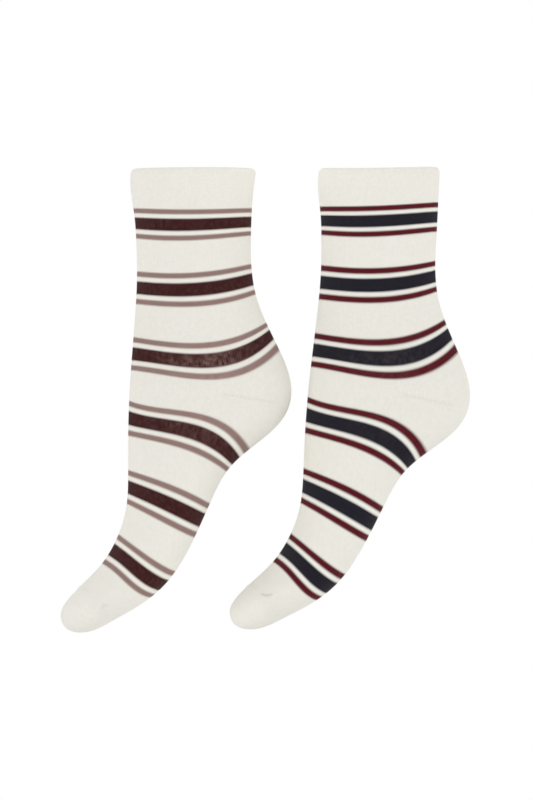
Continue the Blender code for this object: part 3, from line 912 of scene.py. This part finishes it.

# %% [markdown]
# ## The knit's materials
#
# Cotton is matt, with a little sheen from its loose fibres. The shade in the gaps around the yarn is
# painted into the colour of each stitch, and each stitch differs a little from the next. The knit is
# stretched most at the sides of the ankle, and there a pale inner thread shows in the gaps of the
# coloured stripes as flecks. Painted shade also darkens the knit around the ankle and the heel, and
# fades out towards the cuff and the toes.

# %% Colours and depths
CREAM = (0.838, 0.819, 0.752)
PALE_THREAD = (0.80, 0.55, 0.48)
SLANT = 1.3  # rows by which a leg leans from the middle of its wale to its edge
FACE_DEPTH = 0.00012  # metres that the yarn stands out
REVERSE_DEPTH = 0.0003
# painted shade in the gaps between the loops of yarn
GAP_SHADE = 0.2
STITCH_VARIATION = 0.05
ANKLE_ROW = 128.0  # the knit is stretched most here, and the painted shade is darkest here
FLECKED_ROWS, PAINTED_SHADE_ROWS = 58.0, 80.0  # how far up and down from there the flecks and the painted shade go
FEW_FLECKS = 0.12  # share of the flecks that is left away from the ankle
LEAST_FLECK, FLECK_SPREAD, MOST_FLECK = 0.2, 2.4, 0.9
# Painted shade: the colour is darkened by this share at the ankle's row, and less further up and down
ANKLE_PAINTED_SHADE = 0.035
# painted shade in the small holes along the gore line
EYELET_SHADE = 0.09
COTTON = {"Roughness": 0.95, "Specular IOR Level": 0.06, "Sheen Weight": 0.02, "Sheen Roughness": 0.5}


# %% Where a knit is stretched, pierced or shaded
def near_ankle(tree, row, reach):
    """1 at the ankle's row, falling evenly to 0 at the reach, a number of rows."""
    off_ankle = calc(tree, "ABSOLUTE", calc(tree, "SUBTRACT", row, ANKLE_ROW))
    return calc(tree, "MAXIMUM", calc(tree, "MULTIPLY_ADD", off_ankle, -1 / reach, 1.0), 0.0)


def at_side(tree, stitches):
    """1 at the sides of the tube, 0 at its front and back: sin^4 of the angle."""
    turns = calc(tree, "MULTIPLY", split(tree, stitches)[0], 1 / WALES)
    return calc(tree, "POWER", calc(tree, "ABSOLUTE", full_turns(tree, turns, "SINE")), 4.0)


def eyelet_mask(tree, stitches, gore):
    """1 in the small holes along the gore line, one to a wale: the gore's mask times the cosine of
    a full turn for each wale, cut off below 0."""
    dots = calc(tree, "MAXIMUM", full_turns(tree, split(tree, stitches)[0], "COSINE"), 0.0)
    return calc(tree, "MULTIPLY", dots, gore)


def fleck_mask(tree, sock, loop, row, stitches):
    """How far the pale thread shows: gap^2 (least + spread chance^2) times the sock's flecks, most
    of them at the sides of the ankle, cut off above the most that may show."""
    near, side = near_ankle(tree, row, FLECKED_ROWS), at_side(tree, stitches)
    stretched = calc(tree, "MULTIPLY", near, side)
    many, few = sock.flecks * (1 - FEW_FLECKS), sock.flecks * FEW_FLECKS
    amount = calc(tree, "MULTIPLY_ADD", stretched, many, few)
    chance = calc(tree, "POWER", loop.outputs["Chance"], 2.0)
    uneven = calc(tree, "MULTIPLY_ADD", chance, FLECK_SPREAD, LEAST_FLECK)
    open_knit = calc(tree, "POWER", loop.outputs["Gap"], 2.0)
    fleck = calc(tree, "MULTIPLY", open_knit, calc(tree, "MULTIPLY", uneven, amount))
    return calc(tree, "MINIMUM", fleck, MOST_FLECK)


def scaled(tree, color, value):
    """A colour times a number."""
    grey = tree.nodes.new("ShaderNodeCombineColor")
    for socket in grey.inputs:
        tree.links.new(value, socket)
    return mix_color(tree, 1.0, color, grey.outputs[0], "MULTIPLY")


# %% Build a material
def knit_material(name, sock, reverse):
    """Matt knit in the sock's three yarns, with the stitches of its face or its reverse.

    Each painted shade multiplies the colour by 1 less its depth times its mask.
    """
    material = bpy.data.materials.new(name)
    material.use_nodes = True
    tree = material.node_tree
    shader = tree.nodes["Principled BSDF"]
    for socket, value in COTTON.items():
        shader.inputs[socket].default_value = value
    uv_map = tree.nodes.new("ShaderNodeUVMap")
    uv_map.uv_map = "stitches"
    stitches = uv_map.outputs[0]
    masks = {}
    for mask in POINT_NUMBERS:
        attribute = tree.nodes.new("ShaderNodeAttribute")
        attribute.attribute_name = mask
        masks[mask] = attribute.outputs["Fac"]
    loop = tree.nodes.new("ShaderNodeGroup")
    loop.node_tree = reverse_stitch if reverse else face_stitch
    tree.links.new(stitches, loop.inputs["Stitches"])
    row = masks["course"]
    if not reverse:
        loop.inputs["Slant"].default_value = SLANT
        row = calc(tree, "ADD", row, loop.outputs["SlantedRow"])

    yarn = tree.nodes.new("ShaderNodeGroup")
    yarn.node_tree = stripes
    yarn.inputs["ThinRows"].default_value = sock.thin_rows
    tree.links.new(row, yarn.inputs["Row"])
    color = mix_color(tree, yarn.outputs["Thin"], CREAM, sock.thin_color)
    color = mix_color(tree, yarn.outputs["Thick"], color, sock.thick_color)
    if not reverse:
        fleck = fleck_mask(tree, sock, loop, masks["course"], stitches)
        colored = calc(tree, "MAXIMUM", yarn.outputs["Thin"], yarn.outputs["Thick"])
        color = mix_color(tree, calc(tree, "MULTIPLY", fleck, colored), color, PALE_THREAD)
        low, chance = 1 - STITCH_VARIATION / 2, loop.outputs["Chance"]
        color = scaled(tree, color, calc(tree, "MULTIPLY_ADD", chance, STITCH_VARIATION, low))

    eyelets = eyelet_mask(tree, stitches, masks["gore"])
    # Painted shade: the colour is darkened in the gaps between loops, in the eyelets, in the tick's
    # pucker, and around the ankle and the heel
    shade = 1.0
    for mask, depth in (
        (loop.outputs["Gap"], GAP_SHADE),
        (eyelets, EYELET_SHADE),
        (masks["tick"], sock.tick_shade),
        (near_ankle(tree, masks["course"], PAINTED_SHADE_ROWS), ANKLE_PAINTED_SHADE),
    ):
        shade = calc(tree, "MULTIPLY", calc(tree, "MULTIPLY_ADD", mask, -depth, 1.0), shade)
    tree.links.new(scaled(tree, color, shade), shader.inputs["Base Color"])

    bump = tree.nodes.new("ShaderNodeBump")
    bump.inputs["Distance"].default_value = REVERSE_DEPTH if reverse else FACE_DEPTH
    height = calc(tree, "SUBTRACT", loop.outputs["Height"], eyelets)
    tree.links.new(height, bump.inputs["Height"])
    tree.links.new(bump.outputs[0], shader.inputs["Normal"])
    return material


for sock, piece in zip(SOCKS, pieces):
    piece.data.materials.append(knit_material(sock.slot + "_face", sock, reverse=False))
    piece.data.materials.append(knit_material(sock.slot + "_reverse", sock, reverse=True))
    print(piece.name, [material.name for material in piece.data.materials])

# %% [markdown]
# ## Into the frame
#
# Each knit stands for its solid and rides on the one body. Off the foot a sock lies about 85 mm
# wide, which is 170 mm all round, and 380 mm long with its heel and toes rounded off.

# %% Ride and replace
for sock, piece in zip(SOCKS, pieces):
    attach(piece, "root")
    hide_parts(sock.node)

# %% [markdown]
# ## Studio
#
# A wide white floor lies well below, because the pair is held up and stands on nothing. Most of the
# light comes evenly from all round. A large soft lamp on each side keeps the edges of the socks as
# bright as their middles. The two socks take light from each other where they stand side by side, so
# each has a lamp of its own on that side, which the other one neither stops nor catches. The camera
# is level and far away with a long lens, so that both socks are seen squarely from the side.

# %% Floor and world
VIEW_X, VIEW_Z = 0.0544, -0.1715  # the middle of the view, in metres
VIEW_HEIGHT = 0.592  # metres from the bottom of the view to its top, at the socks
FLOOR_Z, FLOOR_HALF = -0.75, 1.0
PAINT, PAINT_ROUGHNESS = 0.95, 0.9
LAMP_DISTANCE, LAMP_SIZE = 2.2, 1.2  # metres
WORLD_STRENGTH = 1.0
across, depth = np.meshgrid((VIEW_X - FLOOR_HALF, VIEW_X + FLOOR_HALF), (-FLOOR_HALF, FLOOR_HALF))
corners = np.stack([across, depth, np.full_like(across, FLOOR_Z)], axis=-1).reshape(-1, 3)
floor_mesh = bpy.data.meshes.new("floor")
floor_mesh.from_pydata(corners.tolist(), [], [(0, 1, 3, 2)])
paint = bpy.data.materials.new("white_paint")
paint.use_nodes = True
paint_shader = paint.node_tree.nodes["Principled BSDF"]
paint_shader.inputs["Base Color"].default_value = (PAINT, PAINT, PAINT, 1.0)
paint_shader.inputs["Roughness"].default_value = PAINT_ROUGHNESS
floor_mesh.materials.append(paint)
new_object("floor", floor_mesh)

world = bpy.data.worlds.new("studio")
bpy.context.scene.world = world
world.use_nodes = True
sky = world.node_tree.nodes["Background"]
sky.inputs["Color"].default_value = (1.0, 1.0, 1.0, 1.0)
sky.inputs["Strength"].default_value = WORLD_STRENGTH

# %% The lamps: angle off the line of view in degrees, energy in watts, and the one sock it lights
Lamp = namedtuple("Lamp", "name angle energy only")
LAMPS = (
    Lamp("left_lamp", -55.0, 5.5, None),
    Lamp("right_lamp", 58.0, 6.0, None),
    Lamp("brown_inner_lamp", 97.0, 5.3, pieces[0]),
    Lamp("navy_inner_lamp", -97.0, 6.0, pieces[1]),
)
for lamp in LAMPS:
    turn = math.radians(lamp.angle)
    light = new_object(lamp.name, bpy.data.lights.new(lamp.name, "AREA"))
    light.data.shape, light.data.size, light.data.energy = "DISK", LAMP_SIZE, lamp.energy
    x, y = VIEW_X + LAMP_DISTANCE * math.sin(turn), -LAMP_DISTANCE * math.cos(turn)
    light.location, light.rotation_euler = (x, y, VIEW_Z), (math.radians(90), 0.0, turn)
    if lamp.only:
        alone = bpy.data.collections.new(lamp.name)
        alone.objects.link(lamp.only)
        light.light_linking.receiver_collection = alone
        light.light_linking.blocker_collection = alone
print("lamps:", [lamp.name for lamp in LAMPS])

# %% Camera
DISTANCE, SENSOR = 5.0, 36.0  # metres to the socks, and the film's longer side in millimetres
camera = new_object("camera", bpy.data.cameras.new("camera"))
camera.data.sensor_width = SENSOR
camera.data.lens = SENSOR * DISTANCE / VIEW_HEIGHT
camera.location = (VIEW_X, -DISTANCE, VIEW_Z)
camera.rotation_euler = (math.radians(90), 0.0, 0.0)
bpy.context.scene.camera = camera
bpy.context.scene.view_settings.view_transform = "Standard"
print("lens", round(camera.data.lens), "mm")
